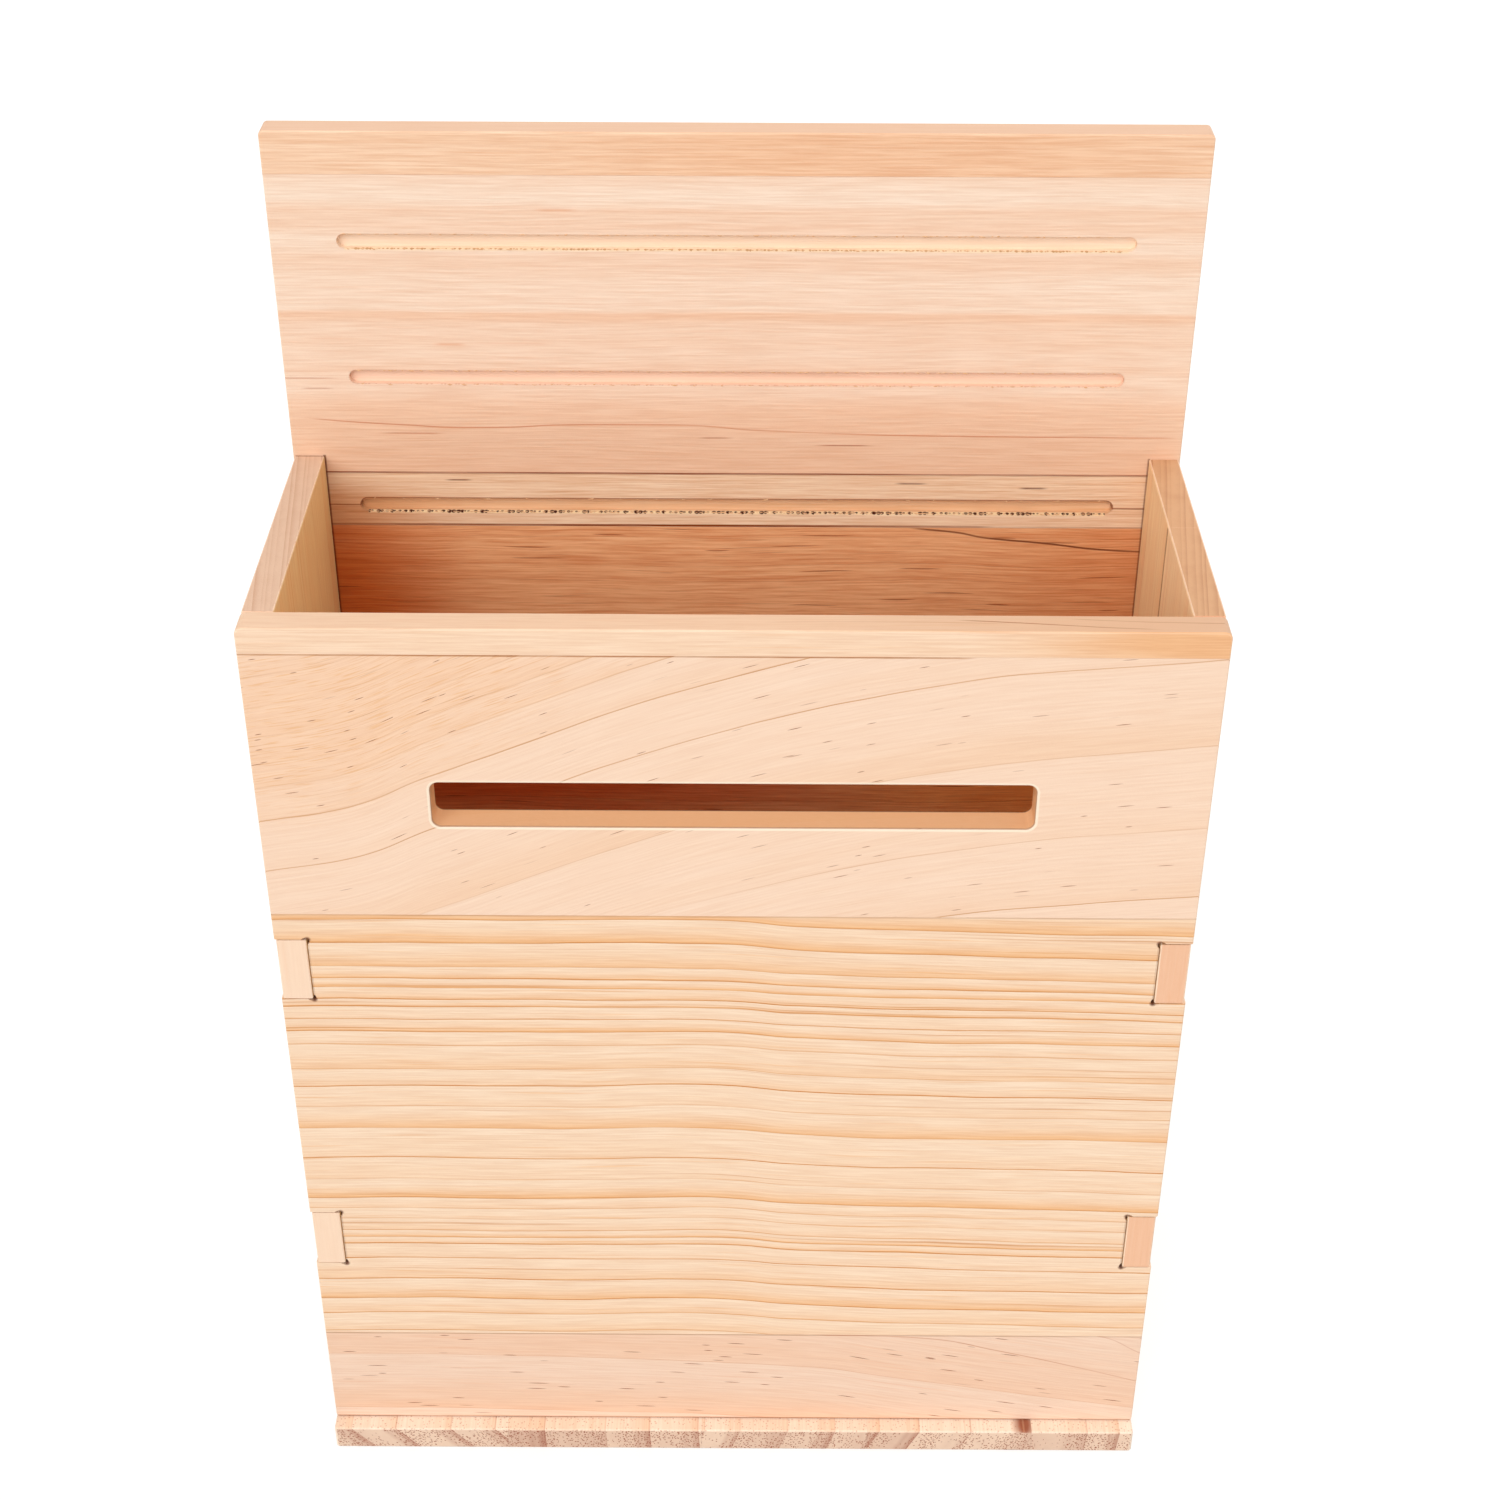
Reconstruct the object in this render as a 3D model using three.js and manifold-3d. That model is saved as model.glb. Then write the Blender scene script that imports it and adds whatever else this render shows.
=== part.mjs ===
// Timber bat box with a landing board, as it stands before it is hung: upside down on its roof,
// with the bats' way in at the top. On a wall it hangs the other way up, roof above.
// Millimetres, +Z up. The front faces -Y. The origin is the centre of the roof's outer face.
import * as THREE from "three";
import { mergeVertices } from "three/addons/utils/BufferGeometryUtils.js";
import Module from "manifold-3d";

const wasm = await Module();
wasm.setup();

// The box. All boards are cut from one stock of edge-glued pine.
const boxWidth = 300;
const boardThickness = 10;
const chamberDepth = 104;
const frontHeight = 346;
const landingHeight = 113;
const eave = 6;
const sideSetBack = 0.6;

// Board edges: eased arrises all round, and the small rounding of each board's corners.
const arris = 0.5;
const boardCornerRadius = 1.2;
const mouthCornerRadius = 2.4;
const landingCornerRadius = 1.6;
const arrisSteps = 2;
const cornerSteps = 3;

// Glue lines between the staves of a board, and between boards that butt together.
const staveGlueLine = 0.05;
const buttGlueLine = 0.1;

// Where the staves of each board meet, up the board, across it or along it.
const frontJointShares = [0.131, 0.689, 0.974];
const backJointShares = [0.37, 0.696, 0.74, 0.9695];
const rightSideJointShares = [0.538];
const roofJointShares = [0.217, 0.46, 0.667, 0.873];

// Vent slot in the front board.
const ventLength = 190;
const ventHeight = 16.7;
const ventCentreShare = 0.8145;
const ventCornerRadius = 2.8;

// Tabs of the side boards, which sit in notches of the front and back boards.
const tabHeight = 24.4;
const tabGap = 0.3;
const tabCentreShares = [0.2695, 0.6225];
const reliefRadius = 1.5;
const reliefInsetShare = 0.5;
const reliefSteps = 12;

// Grip grooves across the back board's inner face.
const grooveWidth = 5.1;
const grooveDepth = 2.5;
const grooveEndMargin = 10.9;
const groovePitch = 47.6;
const firstGrooveDrop = 36.3;
const lastGrooveMargin = 30;
const grooveSteps = 5;

// Countersunk wood screws: through the roof, and through the hanger plates.
const roofScrew = { diameter: 3, headDiameter: 6, rim: 0.3, length: 25, point: 4, sink: 0.4 };
const plateScrew = { diameter: 2.5, headDiameter: 4.6, rim: 0.2, length: 8, point: 2, sink: 0.1 };
const screwClearance = 0.3;
const screwSides = 12;
const driveWidthShare = 0.16;
const driveLengthShare = 0.62;
const driveDepthShare = 0.25;
const roofScrewReachShares = [-0.4, 0, 0.4];

// Keyhole hanger plates, let in flush with the back board's rear face.
const plateWidth = 16;
const plateHeight = 46;
const plateThickness = 1.5;
const plateSpacing = 150;
const plateCentreHeight = 45;
const plateGap = 0.3;
const plateScrewInset = 6.5;
const keyholeRadius = 4.4;
const keyholeSlotWidth = 5;
const keyholeSlotLength = 11;
const keyholeRise = 4;
const pocketMargin = 1;
const pocketDepth = 4;
const plateSteps = 8;

// How far a cutting solid runs past the face that it cuts.
const overrun = 2;

// Places that follow from the sizes.
const roofDepth = eave + boardThickness + chamberDepth + boardThickness;
const roofFrontY = -roofDepth / 2;
const frontFaceY = roofFrontY + eave;
const chamberFrontY = frontFaceY + boardThickness;
const chamberBackY = chamberFrontY + chamberDepth;
const rearY = chamberBackY + boardThickness;
const floorZ = boardThickness;
const seatZ = floorZ + buttGlueLine;
const mouthZ = floorZ + frontHeight;
const landingTopZ = mouthZ + landingHeight;
const halfWidth = boxWidth / 2;
const sideOuterX = halfWidth - sideSetBack;
const sideInnerX = sideOuterX - boardThickness;
const backHeight = frontHeight + landingHeight;
const tabCentres = tabCentreShares.map((share) => floorZ + share * frontHeight);
const grooveReach = sideInnerX - grooveEndMargin;
const firstGrooveZ = landingTopZ - firstGrooveDrop;
const grooveRun = firstGrooveZ - floorZ - lastGrooveMargin;
const grooveCount = Math.floor(grooveRun / groovePitch) + 1;

// Frames that turn an outline's own axes, with its thickness along the third, into the box's.
const axisX = new THREE.Vector3(1, 0, 0);
const axisY = new THREE.Vector3(0, 1, 0);
const axisZ = new THREE.Vector3(0, 0, 1);
const backwards = axisY.clone().negate();
// Outline across and up, thickness towards the front, from a rear face at y.
const uprightFrame = (y) =>
  new THREE.Matrix4().makeBasis(axisX, axisZ, backwards).setPosition(0, y, 0);
// Outline front to back and up, thickness towards +X, from an inner face at x.
const sideFrame = (x) =>
  new THREE.Matrix4().makeBasis(axisY, axisZ, axisX).setPosition(x, 0, 0);
// Outline across and front to back, thickness upwards from zero.
const levelFrame = new THREE.Matrix4();

// A closed geometry as a solid that can be joined and cut.
function solidOf(geometry) {
  const bare = geometry.clone();
  bare.deleteAttribute("normal");
  bare.deleteAttribute("uv");
  const merged = mergeVertices(bare);
  return new wasm.Manifold(
    new wasm.Mesh({
      numProp: 3,
      vertProperties: merged.attributes.position.array,
      triVerts: Uint32Array.from(merged.index.array),
    }),
  );
}

// A solid as the geometry of a mesh, with flat faces.
function geometryOf(solid) {
  const mesh = solid.getMesh();
  const places = new Float32Array(mesh.numVert * 3);
  for (let i = 0; i < mesh.numVert; i++) {
    const start = i * mesh.numProp;
    places.set(mesh.vertProperties.subarray(start, start + 3), i * 3);
  }
  const indexed = new THREE.BufferGeometry();
  indexed.setAttribute("position", new THREE.BufferAttribute(places, 3));
  indexed.setIndex(new THREE.BufferAttribute(Uint32Array.from(mesh.triVerts), 1));
  const flat = indexed.toNonIndexed();
  flat.computeVertexNormals();
  return flat;
}

const cutAll = (solid, cutters) => cutters.reduce((left, cutter) => left.subtract(cutter), solid);

// A rectangular block between two corners.
function block([x0, y0, z0], [x1, y1, z1]) {
  const box = new THREE.BoxGeometry(x1 - x0, y1 - y0, z1 - z0);
  box.translate((x0 + x1) / 2, (y0 + y1) / 2, (z0 + z1) / 2);
  return solidOf(box);
}

// A rectangle with rounded corners, the upper two with a radius of their own.
function roundedRectangle(outline, x0, y0, x1, y1, radius, upperRadius = radius) {
  const quarter = Math.PI / 2;
  outline.absarc(x1 - radius, y0 + radius, radius, -quarter, 0);
  outline.absarc(x1 - upperRadius, y1 - upperRadius, upperRadius, 0, quarter);
  outline.absarc(x0 + upperRadius, y1 - upperRadius, upperRadius, quarter, 2 * quarter);
  outline.absarc(x0 + radius, y0 + radius, radius, 2 * quarter, 3 * quarter);
  outline.closePath();
  return outline;
}

// A slot outline with round ends, lying along its longer side.
function stadium(outline, x0, y0, x1, y1) {
  return roundedRectangle(outline, x0, y0, x1, y1, Math.min(x1 - x0, y1 - y0) / 2);
}

// A board cut to an outline, with its arrises eased on both faces.
function easedBoard(outline, thickness, frame) {
  const geometry = new THREE.ExtrudeGeometry(outline, {
    depth: thickness - 2 * arris,
    bevelThickness: arris,
    bevelSize: arris,
    bevelOffset: -arris,
    bevelSegments: arrisSteps,
    curveSegments: cornerSteps,
  });
  geometry.translate(0, 0, arris);
  return solidOf(geometry.applyMatrix4(frame));
}

// An outline pushed straight through a thickness, for plates and for cutting.
function straightCut(outline, thickness, frame, curveSegments) {
  const options = { depth: thickness, bevelEnabled: false, curveSegments };
  return solidOf(new THREE.ExtrudeGeometry(outline, options).applyMatrix4(frame));
}

// Saws a board into staves along one axis. Half a glue line is lost on each side of a joint.
function sawn(board, axis, jointPlaces) {
  const limit = [boxWidth, roofDepth, landingTopZ];
  const edges = [-limit[axis], ...jointPlaces, limit[axis] + overrun];
  return edges.slice(1).map((upper, i) => {
    const low = limit.map((size) => -size);
    const high = limit.map((size) => size + overrun);
    low[axis] = edges[i] + staveGlueLine / 2;
    high[axis] = upper - staveGlueLine / 2;
    return board.intersect(block(low, high));
  });
}

// Notches for the side boards' tabs, with round reliefs in their inner corners, through a board
// whose faces are at y0 and y1.
function tabNotches(y0, y1) {
  const wallX = sideInnerX - tabGap;
  const half = tabHeight / 2 + tabGap;
  const inset = reliefRadius * reliefInsetShare;
  const through = y1 - y0 + 2 * overrun;
  const cutters = [];
  for (const centreZ of tabCentres) {
    for (const hand of [-1, 1]) {
      const reach = [wallX * hand, (halfWidth + overrun) * hand].sort((a, b) => a - b);
      cutters.push(
        block([reach[0], y0 - overrun, centreZ - half], [reach[1], y1 + overrun, centreZ + half]),
      );
      for (const end of [-1, 1]) {
        const relief = new THREE.CylinderGeometry(reliefRadius, reliefRadius, through, reliefSteps);
        relief.translate((wallX + inset) * hand, (y0 + y1) / 2, centreZ + (half - inset) * end);
        cutters.push(solidOf(relief));
      }
    }
  }
  return cutters;
}

// A wood screw's outline in radius and depth: head's top at zero, point at its length. With a
// clearance it is the outline of the screw's hole, open for the head as far as headroom.
function screwOutline(screw, clearance = 0, headroom = 0) {
  const shank = screw.diameter / 2 + clearance;
  const head = screw.headDiameter / 2 + clearance;
  const neck = screw.rim + (head - shank);
  const tip = screw.length + clearance;
  return [
    new THREE.Vector2(0, -headroom),
    new THREE.Vector2(head, -headroom),
    new THREE.Vector2(head, screw.rim),
    new THREE.Vector2(shank, neck),
    new THREE.Vector2(shank, tip - screw.point),
    new THREE.Vector2(0, tip),
  ];
}

// A wood screw along +Y, from its head at zero, with a cross recess for the driver.
function screwGeometry(screw) {
  const body = solidOf(new THREE.LatheGeometry(screwOutline(screw), screwSides));
  const long = (screw.headDiameter * driveLengthShare) / 2;
  const wide = (screw.headDiameter * driveWidthShare) / 2;
  const deep = screw.headDiameter * driveDepthShare;
  const recess = block([-long, -overrun, -wide], [long, deep, wide]).add(
    block([-wide, -overrun, -long], [wide, deep, long]),
  );
  return geometryOf(body.subtract(recess));
}

// The hole that a screw needs in whatever it passes.
function screwHole(screw, mesh) {
  const hole = new THREE.LatheGeometry(screwOutline(screw, screwClearance, overrun), screwSides);
  mesh.updateMatrix();
  return solidOf(hole.applyMatrix4(mesh.matrix));
}

// Wood and steel. Each stave has its own tone.
const woodOf = (color) => new THREE.MeshStandardMaterial({ color, roughness: 0.62, metalness: 0 });
const paleWood = woodOf(0xf7dcba);
const peachWood = woodOf(0xf3cda6);
const creamWood = woodOf(0xf9dfbf);
const tanWood = woodOf(0xe2b284);
const pinkWood = woodOf(0xefc4a0);
const steel = new THREE.MeshStandardMaterial({ color: 0xb9bbbd, roughness: 0.35, metalness: 1 });

function named(name, geometry, material) {
  const mesh = new THREE.Mesh(geometry, material);
  mesh.name = name;
  return mesh;
}

// A group of the named staves of one board.
function boardGroup(staves, namesAndWoods) {
  const group = new THREE.Group();
  namesAndWoods.forEach(([name, wood], i) => group.add(named(name, geometryOf(staves[i]), wood)));
  return group;
}

// Screws that hold the roof: a row into the front board, a row into the back board, and one
// into each side board.
function roofScrews() {
  const geometry = screwGeometry(roofScrew);
  const frontRow = frontFaceY + boardThickness / 2;
  const backRow = rearY - boardThickness / 2;
  const sideRow = sideInnerX + boardThickness / 2;
  const places = [
    ...roofScrewReachShares.map((share) => [share * boxWidth, frontRow]),
    ...roofScrewReachShares.map((share) => [share * boxWidth, backRow]),
    [-sideRow, (chamberFrontY + chamberBackY) / 2],
    [sideRow, (chamberFrontY + chamberBackY) / 2],
  ];
  return places.map(([x, y], i) => {
    const screw = named("roof_screw_" + (i + 1), geometry, steel);
    screw.rotation.x = Math.PI / 2;
    screw.position.set(x, y, roofScrew.sink);
    return screw;
  });
}

const plateCentreZ = floorZ + plateCentreHeight;
const plateScrewReach = plateHeight / 2 - plateScrewInset;

// Screws that hold one hanger plate, above and below its keyhole.
function plateScrews(centreX, side) {
  const geometry = screwGeometry(plateScrew);
  return [-1, 1].map((end) => {
    const screw = named(side + "_hanger_screw_" + (end < 0 ? 1 : 2), geometry, steel);
    screw.rotation.z = Math.PI;
    screw.position.set(centreX, rearY - plateScrew.sink, plateCentreZ + plateScrewReach * end);
    return screw;
  });
}

// The keyhole: a round entry for a screw's head, and a slot towards the roof for its shank.
function keyholeOutline(centreX) {
  const entryZ = plateCentreZ + keyholeRise;
  const half = keyholeSlotWidth / 2;
  const drop = Math.sqrt(keyholeRadius ** 2 - half ** 2);
  const slotEndZ = entryZ - keyholeSlotLength;
  const keyhole = new THREE.Path();
  keyhole.absarc(
    centreX, entryZ, keyholeRadius, Math.atan2(-drop, -half), Math.atan2(-drop, half), true,
  );
  keyhole.absarc(centreX, slotEndZ, half, 0, -Math.PI, true);
  keyhole.closePath();
  return keyhole;
}

// A hanger plate, its recess and the pocket for the wall screw's head behind it.
function hangerPlate(centreX, side, screws) {
  const halfPlate = plateWidth / 2;
  const bottom = plateCentreZ - plateHeight / 2;
  const top = plateCentreZ + plateHeight / 2;
  const edge = (grow) => [
    centreX - halfPlate - grow, bottom - grow, centreX + halfPlate + grow, top + grow,
  ];
  const outline = stadium(new THREE.Shape(), ...edge(0));
  outline.holes.push(keyholeOutline(centreX));
  const blank = straightCut(outline, plateThickness, uprightFrame(rearY), plateSteps);
  const plate = cutAll(blank, screws.map((screw) => screwHole(plateScrew, screw)));

  const entryZ = plateCentreZ + keyholeRise;
  const pocketReach = keyholeRadius + pocketMargin;
  const pocket = stadium(
    new THREE.Shape(),
    centreX - pocketReach,
    entryZ - keyholeSlotLength - pocketReach,
    centreX + pocketReach,
    entryZ + pocketReach,
  );
  const recessDepth = plateThickness + buttGlueLine;
  const outside = uprightFrame(rearY + overrun);
  const recess = stadium(new THREE.Shape(), ...edge(plateGap));
  return {
    mesh: named(side + "_hanger_plate", geometryOf(plate), steel),
    cutters: [
      straightCut(recess, overrun + recessDepth, outside, plateSteps),
      straightCut(pocket, overrun + recessDepth + pocketDepth, outside, plateSteps),
    ],
  };
}

function frontBoard(holes) {
  const ventZ = floorZ + ventCentreShare * frontHeight;
  const outline = roundedRectangle(
    new THREE.Shape(),
    -halfWidth,
    seatZ,
    halfWidth,
    mouthZ,
    boardCornerRadius,
    mouthCornerRadius,
  );
  outline.holes.push(
    roundedRectangle(
      new THREE.Path(),
      -ventLength / 2,
      ventZ - ventHeight / 2,
      ventLength / 2,
      ventZ + ventHeight / 2,
      ventCornerRadius,
    ),
  );
  const blank = easedBoard(outline, boardThickness, uprightFrame(chamberFrontY));
  const board = cutAll(blank, [...tabNotches(frontFaceY, chamberFrontY), ...holes]);
  const joints = frontJointShares.map((share) => floorZ + share * frontHeight);
  return boardGroup(sawn(board, 2, joints), [
    ["front_roof_strip", peachWood],
    ["front_wide_board", paleWood],
    ["front_vent_board", peachWood],
    ["front_mouth_strip", creamWood],
  ]);
}

function gripGrooves() {
  const face = uprightFrame(chamberBackY + grooveDepth);
  return Array.from({ length: grooveCount }, (_, i) => {
    const centreZ = firstGrooveZ - i * groovePitch;
    const outline = stadium(
      new THREE.Shape(),
      -grooveReach,
      centreZ - grooveWidth / 2,
      grooveReach,
      centreZ + grooveWidth / 2,
    );
    return straightCut(outline, grooveDepth + overrun, face, grooveSteps);
  });
}

function backBoard(holes) {
  const outline = roundedRectangle(
    new THREE.Shape(),
    -halfWidth,
    seatZ,
    halfWidth,
    landingTopZ,
    boardCornerRadius,
    landingCornerRadius,
  );
  const blank = easedBoard(outline, boardThickness, uprightFrame(rearY));
  const board = cutAll(blank, [...tabNotches(chamberBackY, rearY), ...gripGrooves(), ...holes]);
  const joints = backJointShares.map((share) => floorZ + share * backHeight);
  return boardGroup(sawn(board, 2, joints), [
    ["back_roof_board", tanWood],
    ["back_chamber_board", tanWood],
    ["back_narrow_strip", peachWood],
    ["landing_board", pinkWood],
    ["landing_edge_strip", peachWood],
  ]);
}

// A side board's outline, front to back and up, with its tabs reaching through to the outer faces
// of the front and back boards.
function sideOutline() {
  const rear = chamberBackY - buttGlueLine;
  const fore = chamberFrontY + buttGlueLine;
  const outline = new THREE.Shape();
  outline.moveTo(fore, seatZ);
  outline.lineTo(rear, seatZ);
  for (const centreZ of tabCentres) {
    outline.lineTo(rear, centreZ - tabHeight / 2);
    outline.lineTo(rearY, centreZ - tabHeight / 2);
    outline.lineTo(rearY, centreZ + tabHeight / 2);
    outline.lineTo(rear, centreZ + tabHeight / 2);
  }
  outline.lineTo(rear, mouthZ);
  outline.lineTo(fore, mouthZ);
  for (const centreZ of [...tabCentres].reverse()) {
    outline.lineTo(fore, centreZ + tabHeight / 2);
    outline.lineTo(frontFaceY, centreZ + tabHeight / 2);
    outline.lineTo(frontFaceY, centreZ - tabHeight / 2);
    outline.lineTo(fore, centreZ - tabHeight / 2);
  }
  outline.closePath();
  return outline;
}

function leftSide(holes) {
  const blank = easedBoard(sideOutline(), boardThickness, sideFrame(-sideOuterX));
  return boardGroup([cutAll(blank, holes)], [["left_side_board", peachWood]]);
}

function rightSide(holes) {
  const blank = easedBoard(sideOutline(), boardThickness, sideFrame(sideInnerX));
  const joints = rightSideJointShares.map((share) => chamberFrontY + share * chamberDepth);
  return boardGroup(sawn(cutAll(blank, holes), 1, joints), [
    ["right_side_front_board", pinkWood],
    ["right_side_rear_board", peachWood],
  ]);
}

function roof(holes) {
  const outline = roundedRectangle(
    new THREE.Shape(), -halfWidth, roofFrontY, halfWidth, rearY, boardCornerRadius,
  );
  const board = cutAll(easedBoard(outline, boardThickness, levelFrame), holes);
  const joints = roofJointShares.map((share) => -halfWidth + share * boxWidth);
  const woods = [creamWood, peachWood, creamWood, pinkWood, creamWood];
  return boardGroup(
    sawn(board, 0, joints),
    woods.map((wood, i) => ["roof_board_" + (i + 1), wood]),
  );
}

const screwsOfRoof = roofScrews();
const roofScrewHoles = screwsOfRoof.map((screw) => screwHole(roofScrew, screw));

const hangers = [["left", -1], ["right", 1]].map(([side, hand]) => {
  const centreX = (hand * plateSpacing) / 2;
  const screws = plateScrews(centreX, side);
  return { screws, ...hangerPlate(centreX, side, screws) };
});
const hangerCuts = hangers.flatMap(({ screws, cutters }) => [
  ...cutters,
  ...screws.map((screw) => screwHole(plateScrew, screw)),
]);

const batBox = new THREE.Group();
batBox.add(
  roof(roofScrewHoles),
  frontBoard(roofScrewHoles),
  backBoard([...roofScrewHoles, ...hangerCuts]),
  leftSide(roofScrewHoles),
  rightSide(roofScrewHoles),
  ...screwsOfRoof,
  ...hangers.map(({ mesh }) => mesh),
  ...hangers.flatMap(({ screws }) => screws),
);

export default batBox;
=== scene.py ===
import math
from dataclasses import dataclass, field
from random import Random

import bpy
from mathutils import Matrix, Vector


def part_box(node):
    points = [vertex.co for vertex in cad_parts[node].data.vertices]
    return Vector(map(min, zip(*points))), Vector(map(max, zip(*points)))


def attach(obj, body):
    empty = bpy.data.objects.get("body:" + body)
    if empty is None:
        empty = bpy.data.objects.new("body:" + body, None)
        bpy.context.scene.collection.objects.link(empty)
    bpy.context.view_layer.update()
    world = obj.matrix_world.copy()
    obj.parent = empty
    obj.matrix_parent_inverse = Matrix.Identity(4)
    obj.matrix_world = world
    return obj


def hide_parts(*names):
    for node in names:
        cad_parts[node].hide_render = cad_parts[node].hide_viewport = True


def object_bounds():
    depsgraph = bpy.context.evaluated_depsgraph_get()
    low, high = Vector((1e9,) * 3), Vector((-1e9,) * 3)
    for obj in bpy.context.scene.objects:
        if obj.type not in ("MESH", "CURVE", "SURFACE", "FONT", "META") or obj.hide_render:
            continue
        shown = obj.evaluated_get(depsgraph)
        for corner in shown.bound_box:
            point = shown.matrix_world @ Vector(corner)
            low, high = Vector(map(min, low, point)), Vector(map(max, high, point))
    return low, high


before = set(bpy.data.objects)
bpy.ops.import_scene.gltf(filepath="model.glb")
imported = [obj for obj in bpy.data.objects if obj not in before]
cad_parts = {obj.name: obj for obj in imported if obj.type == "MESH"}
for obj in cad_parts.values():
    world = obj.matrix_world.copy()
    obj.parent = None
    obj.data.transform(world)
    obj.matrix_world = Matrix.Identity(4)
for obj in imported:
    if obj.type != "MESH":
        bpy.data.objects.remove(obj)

CAD_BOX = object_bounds()
MM = 0.001

# The boards' thickness, how far the roof stands out past the front board, how far the side
# boards stand in from the roof's ends, and how far the back board runs on past the mouth.
BOARD_THICKNESS = 10
EAVE = 6
SIDE_INSET = 0.6
LANDING_HEIGHT = 113

# The front board's outer face, the back board's face in the chamber, the side boards' faces in
# the chamber, the mouth, and a length that is past every board's edge.
FRONT_FACE = CAD_BOX[0].y / MM + EAVE
BACK_FACE = CAD_BOX[1].y / MM - BOARD_THICKNESS
SIDE_FACE = CAD_BOX[1].x / MM - SIDE_INSET - BOARD_THICKNESS
MOUTH_Z = CAD_BOX[1].z / MM - LANDING_HEIGHT
FAR = 170

# Vent slot in the front board: its half length and height, its corners and its middle.
SLOT_REACH = 95
SLOT_RISE = 8.35
SLOT_CORNER = 2.8
SLOT_Z = 291.8

# Notches that the side boards' tabs sit in, on both sides of the front and back boards.
TAB_GAP = 0.3
NOTCH_X = SIDE_FACE - TAB_GAP
NOTCH_RISE = 12.5
NOTCHES = (103.25, 225.4)

# Grip grooves in the back board, counted from the landing's top edge down.
GROOVE_WIDTH = 5.1
GROOVE_PITCH = 47.6
GROOVE_REACH = 128.5
FIRST_GROOVE_DROP = 36.3
FIRST_GROOVE_Z = CAD_BOX[1].z / MM - FIRST_GROOVE_DROP


def srgb(red, green, blue):
    """A colour as it is seen, 0 to 255, as the linear values that a shader takes."""
    def linear(value):
        share = value / 255
        return share / 12.92 if share <= 0.04045 else ((share + 0.055) / 1.055) ** 2.4
    return (linear(red), linear(green), linear(blue), 1.0)


# Widths of the marks round the cuts: the painted shade along a groove's upper edge, the pale rim
# of torn fibres on its lower edge, the pits torn in that rim, and the painted shade in a notch's
# gap and inner corners.
GROOVE_SHADE_WIDTH = 0.5
RIM_WIDTH = 1.3
PIT_LENGTH = 1.6
PIT_HEIGHT = 1.8
NOTCH_GAP_SHADE_WIDTH = 0.7
NOTCH_CORNER_SHADE_WIDTH = 1.5

# Colours that all staves share.
GROOVE_SHADE_COLOUR = srgb(136, 66, 22)
RIM_FIBRE_HIGHLIGHT_COLOUR = srgb(255, 228, 182)
NOTCH_SHADE_COLOUR = srgb(96, 36, 6)
SLOT_WALL_COLOUR = srgb(232, 176, 122)
SLOT_ARRIS_HIGHLIGHT_COLOUR = srgb(255, 240, 216)
SLOT_EDGE_SHADE_COLOUR = srgb(150, 96, 50)
SLOT_SHADE_COLOUR = srgb(84, 14, 0)
CORNER_SHADE_AND_JOINT_COLOUR = srgb(112, 46, 8)
FIBRE_COLOUR = srgb(222, 186, 158)
DUCT_COLOUR = srgb(134, 62, 14)
PORE_COLOUR = srgb(186, 112, 74)
END_PORE_COLOUR = srgb(150, 76, 48)
ARRIS_HIGHLIGHT_COLOUR = srgb(255, 230, 204)

# Sizes of the patterns in the wood: along the grain, across it, and in depth.
SWELL = (80, 50, 50)
RIPPLE = (22, 7, 7)
CLOUD = (110, 9, 9)
FIBRES = (26, 0.8, 0.8)
THREADS = (55, 1.1, 2)
DARK_THREADS = (38, 0.75, 1)
SCRATCHES = (9, 0.5, 1)
STRANDS = (260, 1.5, 3)
FADING_LENGTH = 70
PORE_LENGTH, PORE_WIDTH = 0.9, 0.75
END_PORE_LENGTH, END_PORE_WIDTH = 0.85, 0.6

# How far a seed moves a stave's patterns along the grain, and how many rings it skips.
SEED_SHIFT = 613
SEED_RINGS = 17

# How deep the fine relief is on wood, on torn fibres and on steel.
WOOD_RELIEF = 0.04
TORN_RELIEF = 0.02
STEEL_RELIEF = 0.005


# Materials are written as arithmetic on fields.

class Field:
    """A value that changes over a surface. Arithmetic on it adds Math nodes to its tree."""

    def __init__(self, tree, socket):
        self.tree = tree
        self.socket = socket

    def math(self, operation, *others):
        return self.tree.math(operation, self, *others)

    def __add__(self, other):
        return self.math("ADD", other)

    def __sub__(self, other):
        return self.math("SUBTRACT", other)

    def __mul__(self, other):
        return self.math("MULTIPLY", other)

    def __truediv__(self, other):
        return self.math("DIVIDE", other)

    def __abs__(self):
        return self.math("ABSOLUTE")

    def ramp(self, low, high, low_value=0.0, high_value=1.0):
        """Eases from one value at low to another at high, and is level beyond them."""
        node = self.tree.add("MapRange", Value=self)
        node.interpolation_type = "SMOOTHSTEP"
        for socket, value in zip(node.inputs[1:], (low, high, low_value, high_value)):
            self.tree.feed(socket, value)
        return Field(self.tree, node.outputs[0])

    def near(self, place, reach):
        """One at a place, easing to zero at that reach on both sides of it."""
        return abs(self - place).ramp(reach * 0.35, reach, 1, 0)

    def curve(self, points, rounded=False):
        """Reads a curve through given points, whose axes may have any range. It is level beyond
        them.
        """
        (x0, x1), (y0, y1) = ((min(values), max(values)) for values in zip(*points))
        rise = (y1 - y0) or 1
        node = self.tree.add("FloatCurve", Value=(self - x0) / (x1 - x0))
        track = node.mapping.curves[0]
        for _ in points[2:]:
            track.points.new(0.5, 0.5)
        for point, (x, y) in zip(track.points, points):
            point.location = ((x - x0) / (x1 - x0), (y - y0) / rise)
            point.handle_type = "AUTO_CLAMPED" if rounded else "VECTOR"
        node.mapping.update()
        return Field(self.tree, node.outputs[0]) * rise + y0


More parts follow.
